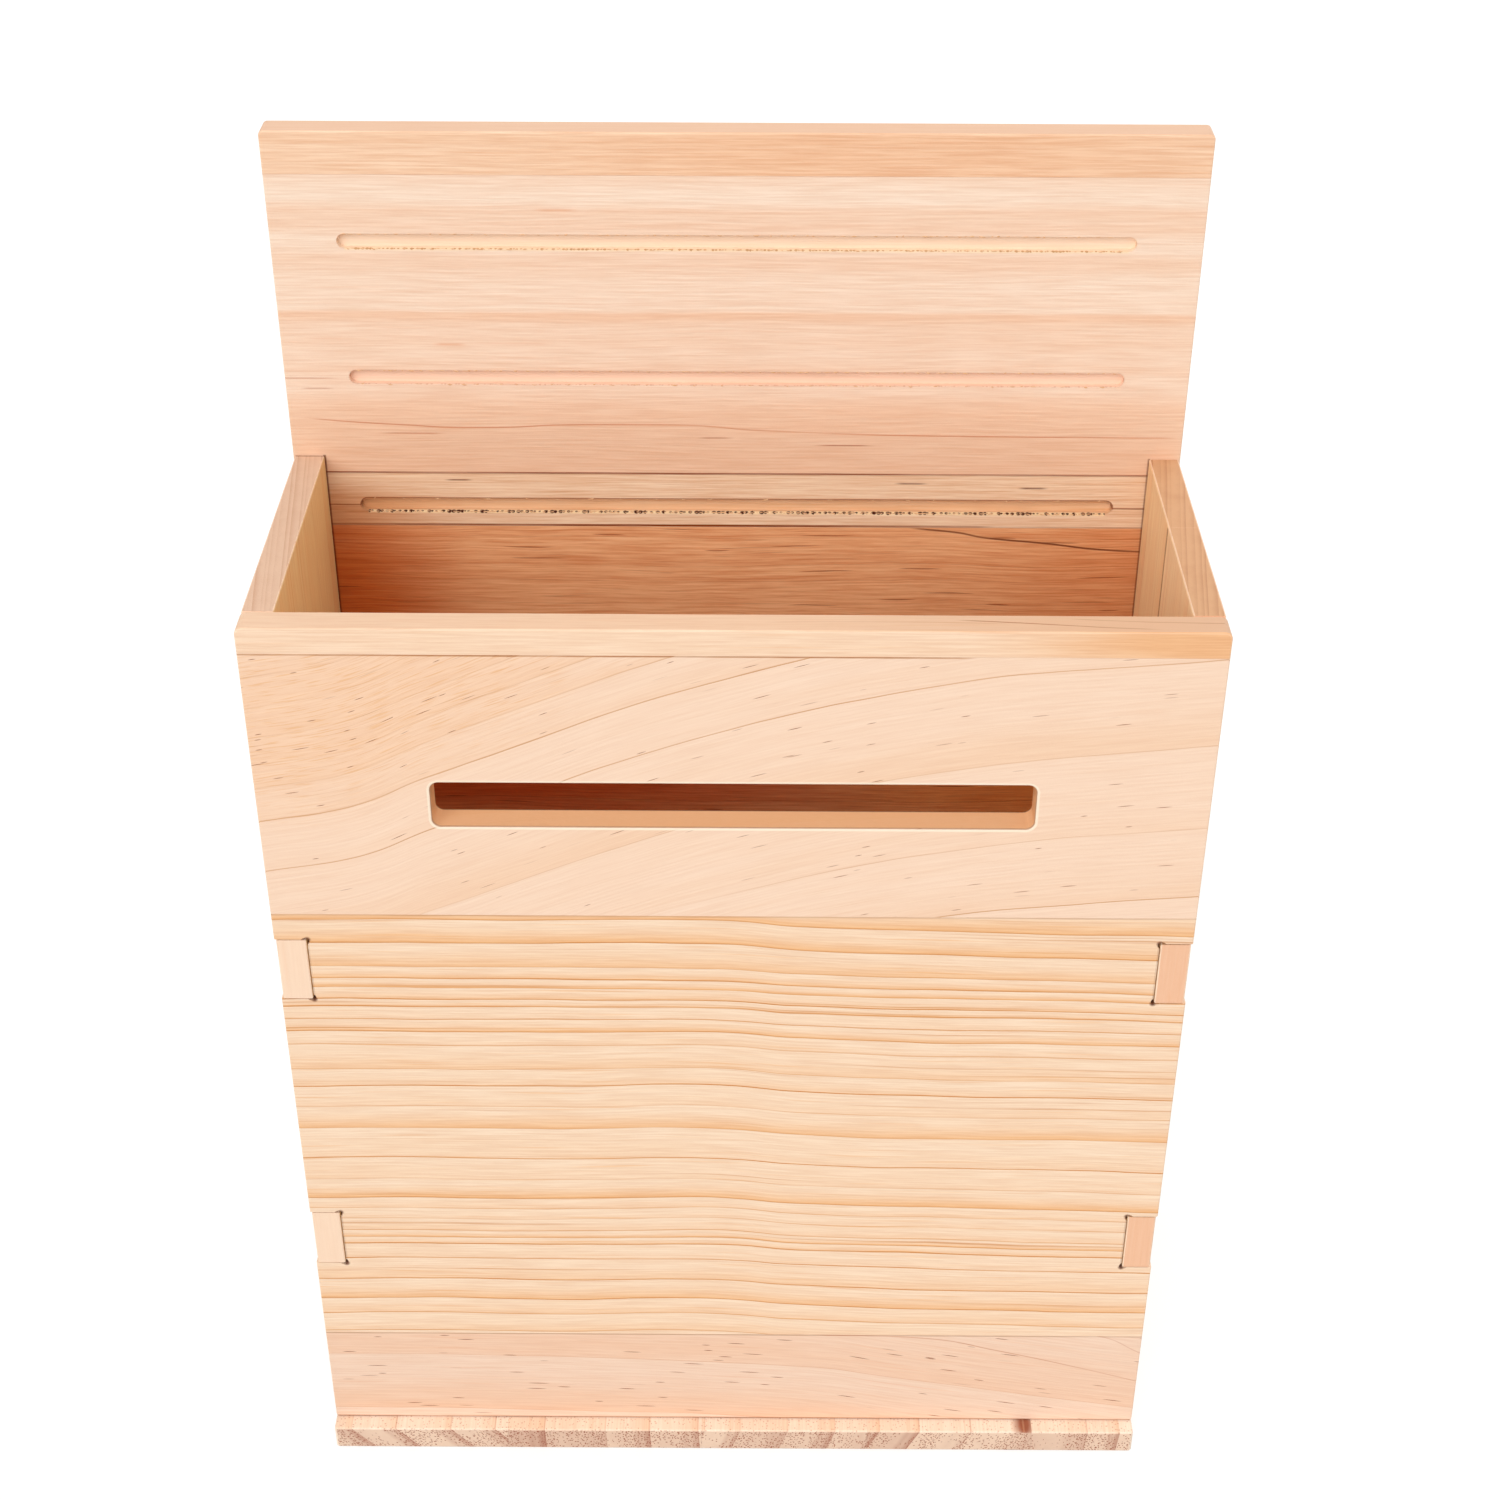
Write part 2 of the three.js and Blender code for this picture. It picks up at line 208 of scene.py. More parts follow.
class Tree:
    """The node tree of one material, or of the world."""

    def __init__(self, owner):
        owner.use_nodes = True
        self.nodes = owner.node_tree.nodes
        self.links = owner.node_tree.links

    def add(self, kind, **inputs):
        node = self.nodes.new("ShaderNode" + kind)
        for name, value in inputs.items():
            self.feed(node.inputs[name], value)
        return node

    def feed(self, socket, value):
        if isinstance(value, Field):
            self.links.new(value.socket, socket)
        else:
            socket.default_value = value

    def math(self, operation, *values):
        node = self.add("Math")
        node.operation = operation
        for socket, value in zip(node.inputs, values):
            self.feed(socket, value)
        return Field(self, node.outputs[0])

    def parts(self, socket, kind="SeparateXYZ"):
        node = self.add(kind)
        self.links.new(socket, node.inputs[0])
        return [Field(self, output) for output in node.outputs]

    def place(self):
        """X, Y and Z in the frame, in millimetres."""
        socket = self.add("TexCoord").outputs["Object"]
        return [part / MM for part in self.parts(socket)]

    def facing(self):
        """X, Y and Z of the direction that a face looks in."""
        return self.parts(self.add("NewGeometry").outputs["True Normal"])

    def vector(self, x, y, z):
        return Field(self, self.add("CombineXYZ", X=x, Y=y, Z=z).outputs[0])

    def noise(self, place, detail=2.0, roughness=0.5):
        """Noise from about -1 to 1, with one swell per unit of place."""
        node = self.add("TexNoise", Vector=place, Scale=1, Detail=detail, Roughness=roughness)
        return (Field(self, node.outputs[0]) - 0.5) * 3

    def rest(self, value):
        """One less a value."""
        return self.math("SUBTRACT", 1, value)

    def specks(self, x, y, length, height, share, apart=(2.2, 5)):
        """Pointed specks up to that length and height, in a share of a jumbled grid's cells.
        The cells' size is as many times the specks' as they are apart."""
        cell_length, cell_height = length * apart[0], height * apart[1]
        place = self.vector(x / cell_length, y / cell_height, 0)
        cells = self.add("TexVoronoi", Vector=place, Scale=1)
        cells.voronoi_dimensions = "2D"
        size, _, choice = self.parts(cells.outputs["Color"], "SeparateColor")
        middle_x, middle_y, _ = self.parts(cells.outputs["Position"])
        side = (x - middle_x * cell_length) / (size.ramp(0, 1, 0.2, 0.5) * length)
        rise = abs(y - middle_y * cell_height) / (height / 2)
        inside = (self.rest(side * side) - rise).ramp(0, 0.45)
        least = self.rest(share)
        return inside * choice.ramp(least, least + 0.1)

    def row(self, x, y, spacing, length, height, share):
        """A row of ragged spots along x, about y's zero. A share of the places has one."""
        cells = self.add("TexVoronoi", Scale=1)
        cells.voronoi_dimensions = "1D"
        self.feed(cells.inputs["W"], x / spacing)
        size, _, choice = self.parts(cells.outputs["Color"], "SeparateColor")
        reach = size.ramp(0, 1, 0.6, 1.2)
        side = Field(self, cells.outputs["Distance"]) * spacing / (reach * (length / 2))
        rise = y / (reach * (height / 2))
        near = (side * side + rise * rise).ramp(0.5, 1.1, 1, 0)
        least = self.rest(share)
        return near * choice.ramp(least, least + 0.1)

    def draws(self, number):
        """Three random values from 0 to 1 that belong to a whole number."""
        node = self.add("TexWhiteNoise")
        node.noise_dimensions = "1D"
        self.feed(node.inputs["W"], number)
        return self.parts(node.outputs["Color"], "SeparateColor")

    def blend(self, amount, under, over, mode="MIX"):
        """Lays one colour over another by an amount."""
        node = self.add("Mix")
        node.data_type = "RGBA"
        node.blend_type = mode
        for socket, value in zip((node.inputs[0], *node.inputs[6:8]), (amount, under, over)):
            self.feed(socket, value)
        return Field(self, node.outputs[2])

    def bump(self, shader, height, depth):
        node = self.add("Bump", Height=height, Distance=depth)
        self.links.new(node.outputs[0], shader.inputs["Normal"])


# Pine.

@dataclass
class Flush:
    """A soft patch of another tone on a stave's face, by its middle and its reach. Some are the
    wood's own tone, some are painted shade.
    """

    along: float
    across: float
    reach_along: float
    reach_across: float
    colour: tuple
    amount: float = 1.0
    # How much more broken the grain is there: scratches, more ducts and dark threads, and
    # fainter lines.
    rough: float = 0.0


@dataclass
class Mark:
    """A thin dark line through points along and across a stave: a glue line or a check. On an
    edge the points are along it and back from the face."""

    points: list
    amount: float = 0.5
    width: float = 0.35
    colour: tuple = (128, 58, 14)
    fade: float = 8
    on_edge: bool = False

    @classmethod
    def level(cls, across, amount, width=0.35, start=-FAR, end=FAR, **more):
        return cls([(start, across), (end, across)], amount, width, **more)


@dataclass
class Corner:
    """A dark line on a stave where another board stands against it. In an inside corner it is
    painted shade.
    """

    axis: str
    place: float
    amount: float = 0.6
    width: float = 0.5
    top: float = MOUTH_Z + 0.5


@dataclass
class Groove:
    """How cleanly a grip groove was cut, with the light and shade painted round it: painted shade
    along its upper edge, pits torn in its lower edge that hold painted shade, the pale torn
    fibres between them with a painted highlight, and the newly cut wood inside, painted lighter
    against the groove's shade, with its colour."""

    # The outline is painted shade along the upper edge, the pits' colour is painted shade in
    # them, and the rim's pale fibres carry a painted highlight.
    outline: float
    pits: float
    rim: float = 0.3
    fresh_and_painted_light: float = 0.1
    fresh_and_painted_light_colour: tuple = (252, 224, 194)
    pit_shade_colour: tuple = (70, 16, 0)


# How a year's ring goes from soft spring wood to hard summer wood: share of the ring, then
# depth of tone. Bars are how end grain shows it.
RING_TONE = ((0, 0), (0.08, 0.02), (0.3, 0.1), (0.55, 0.35), (0.8, 0.75), (0.95, 1), (1, 0.9))
BAR_TONE = ((0, 0), (0.6, 0.04), (0.72, 0.6), (0.82, 0.35), (0.93, 1), (1, 0.8))


@dataclass
class Stave:
    """How one stave of pine is cut and toned. Lengths are millimetres in the frame's axes."""

    node: str
    grain: str
    across: str
    # Heights of the rings' dark lines on the face that shows, from low to high.
    rings: list
    face: float
    pale: tuple
    orange: tuple
    brown: tuple = (186, 126, 76)
    # Which way the tree grew, and how far a ring moves across for each millimetre of depth.
    growth: int = -1
    lean: float = 0.8
    # How far all rings rise together along the stave, and tone by height apart from the rings.
    bend: list = None
    bands: list = None
    wave: float = 1.2
    tone: float = 0.8
    # How much whole rings differ in tone.
    ring_shade: float = 0.0
    line: float = 0.6
    line_width: float = 0.3
    profile: tuple = RING_TONE
    # Streaks along the grain: long fine lines, broken threads in the rings' orange, broken
    # threads in brown, and fibres.
    strands: float = 0.0
    threads: float = 0.25
    dark_threads: float = 0.0
    fibres: float = 0.06
    # Dark resin ducts: depth, length, width and the share of the places that have one.
    dashes: float = 0.7
    dash_length: float = 5.0
    dash_width: float = 0.36
    dash_share: float = 0.05
    # Short brown pores in a face that was cut slantwise through the fibres.
    face_specks: float = 0.0
    flushes: list = field(default_factory=list)
    marks: list = field(default_factory=list)
    corners: list = field(default_factory=list)
    grooves: list = field(default_factory=list)
    notches: list = field(default_factory=list)
    slot: bool = False
    # End grain, the stave's narrow sides, and the side that faces the chamber, which gets a
    # darker, warmer tint of painted shade. The wash on the narrow sides covers them by an amount
    # that is level or changes along the stave.
    end_pale: tuple = (240, 206, 172)
    end_dark: tuple = (212, 164, 126)
    end_tone: float = 1.0
    end_specks: float = 0.0
    edge_wash: tuple = (255, 255, 255)
    edge_wash_amount: list = None
    edge_calm: float = 0.6
    inner_shade_tint: tuple = None
    # How strong the painted highlight on the eased arrises is.
    arris_highlight: float = 0.3
    # Which way the far side looks along the depth axis. Its grain is calmer, and nothing is
    # drawn on it.
    far_side: int = 1
    seed: int = 1


# Each groove: the painted shade along its upper edge, its torn pits with their painted shade, its
# pale rim with a painted highlight, the newly cut wood inside with its painted light, and the
# colours of that wood and of the pits' shade.
GROOVES = [
    Groove(0, 0.5, 0.5, 0.5, (255, 230, 202), (188, 122, 44)),
    Groove(0.1, 0.12, 0, 0.6, (250, 210, 184), (206, 130, 88)),
    Groove(0.8, 1, 1, 0.5, (236, 178, 122)), Groove(0.4, 0.3), Groove(0.5, 0.7), Groove(0.3, 0.2),
    Groove(0.4, 0.6), Groove(0.4, 0.4), Groove(0.4, 0.7),
]


def groove_height(number):
    return FIRST_GROOVE_Z - number * GROOVE_PITCH


def even_rings(low, high, widths):
    """Ring lines from low to past high, with given widths that repeat."""
    places = [low]
    while places[-1] < high:
        places.append(places[-1] + widths[(len(places) - 1) % len(widths)])
    return places


def draw_mark(tree, colour, mark, along, across, worn):
    """A mark's line, laid over a colour. It wears thin in places and fades at both ends."""
    start, end = mark.points[0][0], mark.points[-1][0]
    fade = min(mark.fade, (end - start) / 3)
    middle = along.curve(mark.points, rounded=True)
    shown = along.ramp(start, start + fade) * along.ramp(end - fade, end, 1, 0)
    line = (across - middle).near(0, mark.width) * shown * worn
    return tree.blend(line * mark.amount, colour, srgb(*mark.colour))


def draw_groove(tree, colour, number, along, across, depth):
    """What the cutter did around one grip groove, with painted shade and a painted highlight,
    laid over a colour.
    """
    groove = GROOVES[number]
    straight = GROOVE_REACH - GROOVE_WIDTH / 2
    past_end = (abs(along) - straight).math("MAXIMUM", 0)
    rise = across - groove_height(number)
    # The outline is painted shade along the groove's upper edge and round its ends.
    outline = (past_end * past_end + rise * rise).math("SQRT")
    outline = outline.near(GROOVE_WIDTH / 2, GROOVE_SHADE_WIDTH) * rise.ramp(-2, 0.5)
    # Newly cut wood inside the groove, painted lighter to offset the groove's own shade.
    cut = depth.ramp(0.2, 0.6) * rise.near(0, GROOVE_WIDTH)
    colour = tree.blend(cut * groove.fresh_and_painted_light, colour, srgb(*groove.fresh_and_painted_light_colour))
    colour = tree.blend(outline * groove.outline, colour, GROOVE_SHADE_COLOUR)

    # The lower edge is followed from the face down into the groove.
    below = rise + GROOVE_WIDTH / 2 + depth
    inside = past_end.ramp(0, 0.5, 1, 0)
    ragged = tree.noise(tree.vector(along / 3, number * 7.0, 0.0), 2) * 0.5
    torn = below + ragged * 0.4 - 0.4
    # The rim is pale torn fibres with a painted highlight where they catch the light.
    rim = torn.near(0, RIM_WIDTH) * inside * groove.rim
    colour = tree.blend(rim, colour, RIM_FIBRE_HIGHLIGHT_COLOUR)
    size = 0.5 + 0.5 * groove.pits
    length, height = PIT_LENGTH * size, PIT_HEIGHT * size
    # The pits are torn into the rim; their dark colour is painted shade in them.
    pits = tree.row(along + number * FAR, torn, length, length, height, groove.pits ** 0.3)
    return tree.blend(pits * inside * groove.pits ** 0.5, colour, srgb(*groove.pit_shade_colour))


def draw_notch(tree, colour, x, z, middle, worn):
    """Painted shade in the gap along a pair of notches' walls, ragged, and in their inner
    corners.
    """
    side = abs(x) - NOTCH_X
    rise = abs(z - middle) - NOTCH_RISE
    # The wall line is painted shade in the tab's gap, and the corner is painted shade in the
    # notch's inner corner.
    wall = side.near(0, NOTCH_GAP_SHADE_WIDTH) * rise.ramp(-0.2, 0.4, 1, 0) * worn * 0.3
    corner = (side * side + rise * rise).math("SQRT").near(0, NOTCH_CORNER_SHADE_WIDTH)
    return tree.blend(wall.math("MAXIMUM", corner * 0.85), colour, NOTCH_SHADE_COLOUR)


def draw_slot(tree, colour, x, z, depth, wall):
    """The vent slot's tan walls, a painted highlight on the eased edge round its front, a thin
    line of painted shade along that edge, and painted shade at the back of its walls.
    """
    side = (abs(x) - (SLOT_REACH - SLOT_CORNER)).math("MAXIMUM", 0)
    rise = (abs(z - SLOT_Z) - (SLOT_RISE - SLOT_CORNER)).math("MAXIMUM", 0)
    away = (side * side + rise * rise).math("SQRT") - SLOT_CORNER
    inside = away.ramp(0.5, 1, 1, 0)
    colour = tree.blend(wall * inside * 0.8, colour, SLOT_WALL_COLOUR)
    front = abs(depth).ramp(0.5, 0.8, 1, 0)
    # Painted highlight on the eased front edge, and a thin line of painted shade where it turns
    # into the slot.
    colour = tree.blend(away.near(0.6, 0.6) * front * 0.7, colour, SLOT_ARRIS_HIGHLIGHT_COLOUR)
    colour = tree.blend(away.near(0, 0.3) * front * 0.6, colour, SLOT_EDGE_SHADE_COLOUR)
    # Painted shade at the back of the slot's walls.
    behind = depth.ramp(BOARD_THICKNESS - 1, BOARD_THICKNESS - 0.3)
    return tree.blend(inside * behind * 0.95, colour, SLOT_SHADE_COLOUR)


def pine(stave):
    """One stave's material, from its rings and fibres to what was cut and drawn on it."""
    material = bpy.data.materials.new("pine_" + stave.node)
    tree = Tree(material)
    shader = tree.nodes["Principled BSDF"]
    axes = dict(zip("xyz", tree.place()))
    normal = dict(zip("xyz", tree.facing()))
    depth_axis = next(name for name in "xyz" if name not in (stave.grain, stave.across))
    along = axes[stave.grain]
    across = axes[stave.across]
    depth = axes[depth_axis] - stave.face
    shifted = along + stave.seed * SEED_SHIFT
    end_grain = abs(normal[stave.grain]).ramp(0.9, 0.97)
    edge = abs(normal[stave.across]).ramp(0.9, 0.97)
    wall = abs(normal[depth_axis]).ramp(0.1, 0.3, 1, 0)

    def streaks(size, detail, roughness=0.5, shift=0):
        """Noise drawn out along the grain at the level so far. A shift gives another pattern."""
        length, width, thickness = size
        place = tree.vector(shifted / length, level / width + shift, depth / thickness)
        return tree.noise(place, detail, roughness)

    # A point's height across the stave, less bends and waves, and its height among the rings.
    level = across
    if stave.bend:
        level = level - along.curve(stave.bend, rounded=True)
    swell = streaks(SWELL, 1)
    ripple = streaks(RIPPLE, 2)
    level = level + (swell + ripple * 0.18) * stave.wave
    height = level + depth * stave.lean

    # Which ring the point is in, how far through its year, and how far from its dark line.
    rings = [(place, i) for i, place in enumerate(stave.rings)]
    phase = height.curve(rings)
    ring = phase.math("FLOOR")
    year = phase.math("FRACT")
    step = 0.4
    rings_per_mm = ((height + step).curve(rings) - phase) / step
    if stave.growth < 0:
        year = tree.rest(year)
    from_line = tree.rest(year) / rings_per_mm.math("MAXIMUM", 0.01)
    depth_of_tone, strength, shade = tree.draws(ring + stave.seed * SEED_RINGS)
    fading = tree.noise(tree.vector(shifted / FADING_LENGTH, ring * 3.7, stave.seed), 1)
    tone = year.curve(stave.profile) * depth_of_tone.ramp(0, 1, 0.25, 1) * stave.tone
    line = from_line.ramp(stave.line_width * 0.6, stave.line_width * 1.4, 1, 0)
    line = line * (strength.ramp(0, 0.9, 0.3, 1) + fading * 0.35) * stave.line
    if stave.ring_shade:
        tone = tone + shade * stave.ring_shade
    if stave.bands:
        tone = tone + height.curve(stave.bands)
    calm = edge * (stave.edge_calm - 1) + 1
    tone = tone * calm
    line = line * calm

    # Fibres: fine streaks everywhere, stronger threads, and short dark resin ducts. There are
    # fewer on the far side.
    shown = (normal[depth_axis] * stave.far_side).ramp(0.5, 0.9, 1, 0)
    fibres = streaks(FIBRES, 4, 0.65)
    cloud = streaks(CLOUD, 3, 0.6)
    threads = streaks(THREADS, 1).ramp(0.3, 0.85) * (shown * 0.5 + 0.5)
    dark_threads = streaks(DARK_THREADS, 2, 0.6, shift=FAR).ramp(0.35, 0.85)
    scratches = streaks(SCRATCHES, 1, shift=-FAR).ramp(0, 0.7)
    strands = streaks(STRANDS, 1, shift=-FAR).ramp(0.42, 0.72) * (fading * 0.5 + 0.7)
    busy = shown * 0.7 + 0.3
    dash_share = busy * stave.dash_share
    dark_amount = busy * stave.dark_threads

    colour = tree.blend(tone + cloud * 0.12, srgb(*stave.pale), srgb(*stave.orange))
    for flush in stave.flushes:
        side = (along - flush.along) / flush.reach_along
        rise = (height - flush.across) / flush.reach_across
        away = (side * side + rise * rise).math("SQRT") + cloud * 0.15
        inside = away.ramp(0.2, 1, 1, 0) * shown
        colour = tree.blend(inside * flush.amount, colour, srgb(*flush.colour))
        if flush.rough:
            rough = inside * flush.rough
            dash_share = rough * 0.1 + dash_share
            dark_amount = rough * 0.5 + dark_amount
            line = line * (rough * -0.65 + 1)
            colour = tree.blend(scratches * rough, colour, srgb(*stave.orange))
    colour = tree.blend(threads * stave.threads, colour, srgb(*stave.orange))
    if stave.strands:
        colour = tree.blend(strands * stave.strands * calm, colour, srgb(*stave.brown))
    colour = tree.blend(dark_threads * dark_amount, colour, srgb(*stave.brown))
    streaked = fibres.ramp(-0.6, 0.6) * stave.fibres * 4
    colour = tree.blend(streaked, colour, FIBRE_COLOUR, "MULTIPLY")
    colour = tree.blend(line, colour, srgb(*stave.brown))
    ducts = tree.specks(shifted, level, stave.dash_length, stave.dash_width, dash_share)
    colour = tree.blend(ducts * stave.dashes * tree.rest(wall), colour, DUCT_COLOUR)
    if stave.face_specks:
        pores = tree.specks(level, along, PORE_LENGTH, PORE_WIDTH, 0.4, (1.3, 1.6))
        colour = tree.blend(pores * stave.face_specks, colour, PORE_COLOUR)

    # End grain and edges have tones of their own, and eased arrises get a painted highlight.
    end = tree.blend((tone + line * 0.7) * stave.end_tone + cloud * 0.15,
                     srgb(*stave.end_pale), srgb(*stave.end_dark))
    if stave.end_specks:
        patchy = tree.noise(tree.vector(stave.seed, height / 14, depth / 30), 1)
        crowd = (patchy + tone * 0.5).ramp(-0.4, 0.4, 0.1, 0.9)
        pores = tree.specks(height, depth, END_PORE_LENGTH, END_PORE_WIDTH, crowd, (1.15, 1.3))
        end = tree.blend(pores * stave.end_specks, end, END_PORE_COLOUR)
    colour = tree.blend(end_grain, colour, end)
    if stave.edge_wash_amount:
        wash = wall * tree.rest(end_grain) * along.curve(stave.edge_wash_amount, rounded=True)
        colour = tree.blend(wash, colour, srgb(*stave.edge_wash))
    # Painted shade: the side that faces the chamber is tinted darker and warmer.
    if stave.inner_shade_tint:
        inward = (normal[depth_axis] * stave.far_side).ramp(-0.9, -0.5, 1, 0)
        colour = tree.blend(inward, colour, srgb(*stave.inner_shade_tint), "MULTIPLY")
    # Painted highlight on the eased arrises.
    eased_highlight = abs(normal[depth_axis]).near(0.7, 0.28)
    colour = tree.blend(eased_highlight * stave.arris_highlight, colour, ARRIS_HIGHLIGHT_COLOUR)

    # Lines drawn by the joiner and by the cutter, with painted shade in inside corners, grooves,
    # notches and the slot, and painted highlights on the grooves' rims and the slot's front edge.
    worn = (fading + ripple * 0.5).ramp(-1, 0.4, 0.4, 1)
    plain = colour
    for mark in stave.marks:
        if mark.on_edge:
            colour = draw_mark(tree, colour, mark, along, depth + ripple * 0.2, worn * edge)
        else:
            colour = draw_mark(tree, colour, mark, along, across + ripple * 0.08, worn)
    for corner in stave.corners:
        # Painted shade down inside corners, and the dark joint between two staves.
        shade_and_joint_line = axes[corner.axis].near(corner.place, corner.width)
        shade_and_joint_line = shade_and_joint_line * axes["z"].ramp(corner.top - 0.5, corner.top, 1, 0)
        colour = tree.blend(shade_and_joint_line * corner.amount, colour, CORNER_SHADE_AND_JOINT_COLOUR)
    for number in stave.grooves:
        colour = draw_groove(tree, colour, number, along, across, depth)
    colour = tree.blend(shown, plain, colour)
    for middle in stave.notches:
        colour = draw_notch(tree, colour, axes["x"], axes["z"], middle, worn)
    if stave.slot:
        colour = draw_slot(tree, colour, axes["x"], axes["z"], depth, wall)

    tree.feed(shader.inputs["Base Color"], colour)
    tree.feed(shader.inputs["Roughness"], fibres * 0.03 - tone * 0.08 + 0.62)
    shader.inputs["Specular IOR Level"].default_value = 0.3
    tree.bump(shader, fibres + tone, WOOD_RELIEF * MM)
    return material


# Rings by their height on the face that shows, how far they rise or fall along the stave, and
# the landing board's tone by height.
WIDE_BOARD_RINGS = [
    48, 56, 65, 72.6, 82.4, 92.8, 100.2, 103.5, 106.8, 112.7, 117.7, 122.7, 131.5, 141.5, 155.5,
    165.5, 175, 182.5, 193, 198.7, 204, 209.4, 212.3, 217.3, 221, 226, 236, 245.8, 256,
]
WIDE_BOARD_BEND = [(-150, 0), (-60, 0.5), (-20, 1), (20, -1.5), (60, -3), (150, -5)]
VENT_BOARD_RINGS = [110, 130, 150, 176, 202, 233, 265, 284, 297, 306, 316, 327, 338, 350]
VENT_BOARD_BEND = [
    (-150, 0), (-125, 5), (-95, 18), (-65, 31), (-35, 43.5), (-5, 54), (30, 64), (60, 71),
    (95, 76.5), (150, 82),
]
ROOF_STRIP_BEND = [(-150, 3), (-64, 2), (22, -2.5), (58, -8.4), (148, -23.4)]
LANDING_BANDS = [
    (350, 0.72), (358, 0.72), (363, 0.58), (366, 0.64), (369.5, 0.64), (372, 0.55), (375, 0.5),
    (378.4, 0.36), (381, 0.26), (388, 0.3), (391.4, 0.18), (394, 0.16), (397.8, 0.33),
    (402, 0.3), (404.5, 0.36), (406.5, 0.62), (408, 0.6), (409, 0.12), (412.6, 0.05),
    (419, 0.14), (421.5, 0.2), (424, 0.35), (427.5, 0.38), (430, 0.1), (434, 0.1), (436, 0.3),
    (438, 0.42), (440, 0.34), (443, 0.42), (445, 0.2), (447, 0.04), (456, 0.14),
]
SIDE_RINGS = even_rings(-160, 160, [16, 21, 13, 24, 10])

# The side boards stand against the back board's staves, with a line of painted shade down those
# inside corners.
INNER_CORNERS = [Corner("x", -SIDE_FACE, 0.8, 0.7), Corner("x", SIDE_FACE, 0.6, 0.6)]

# A wash that is as strong all along a stave, whichever way it lies.
LEVEL_WASH = [(-FAR, 0.8), (4 * FAR, 0.8)]

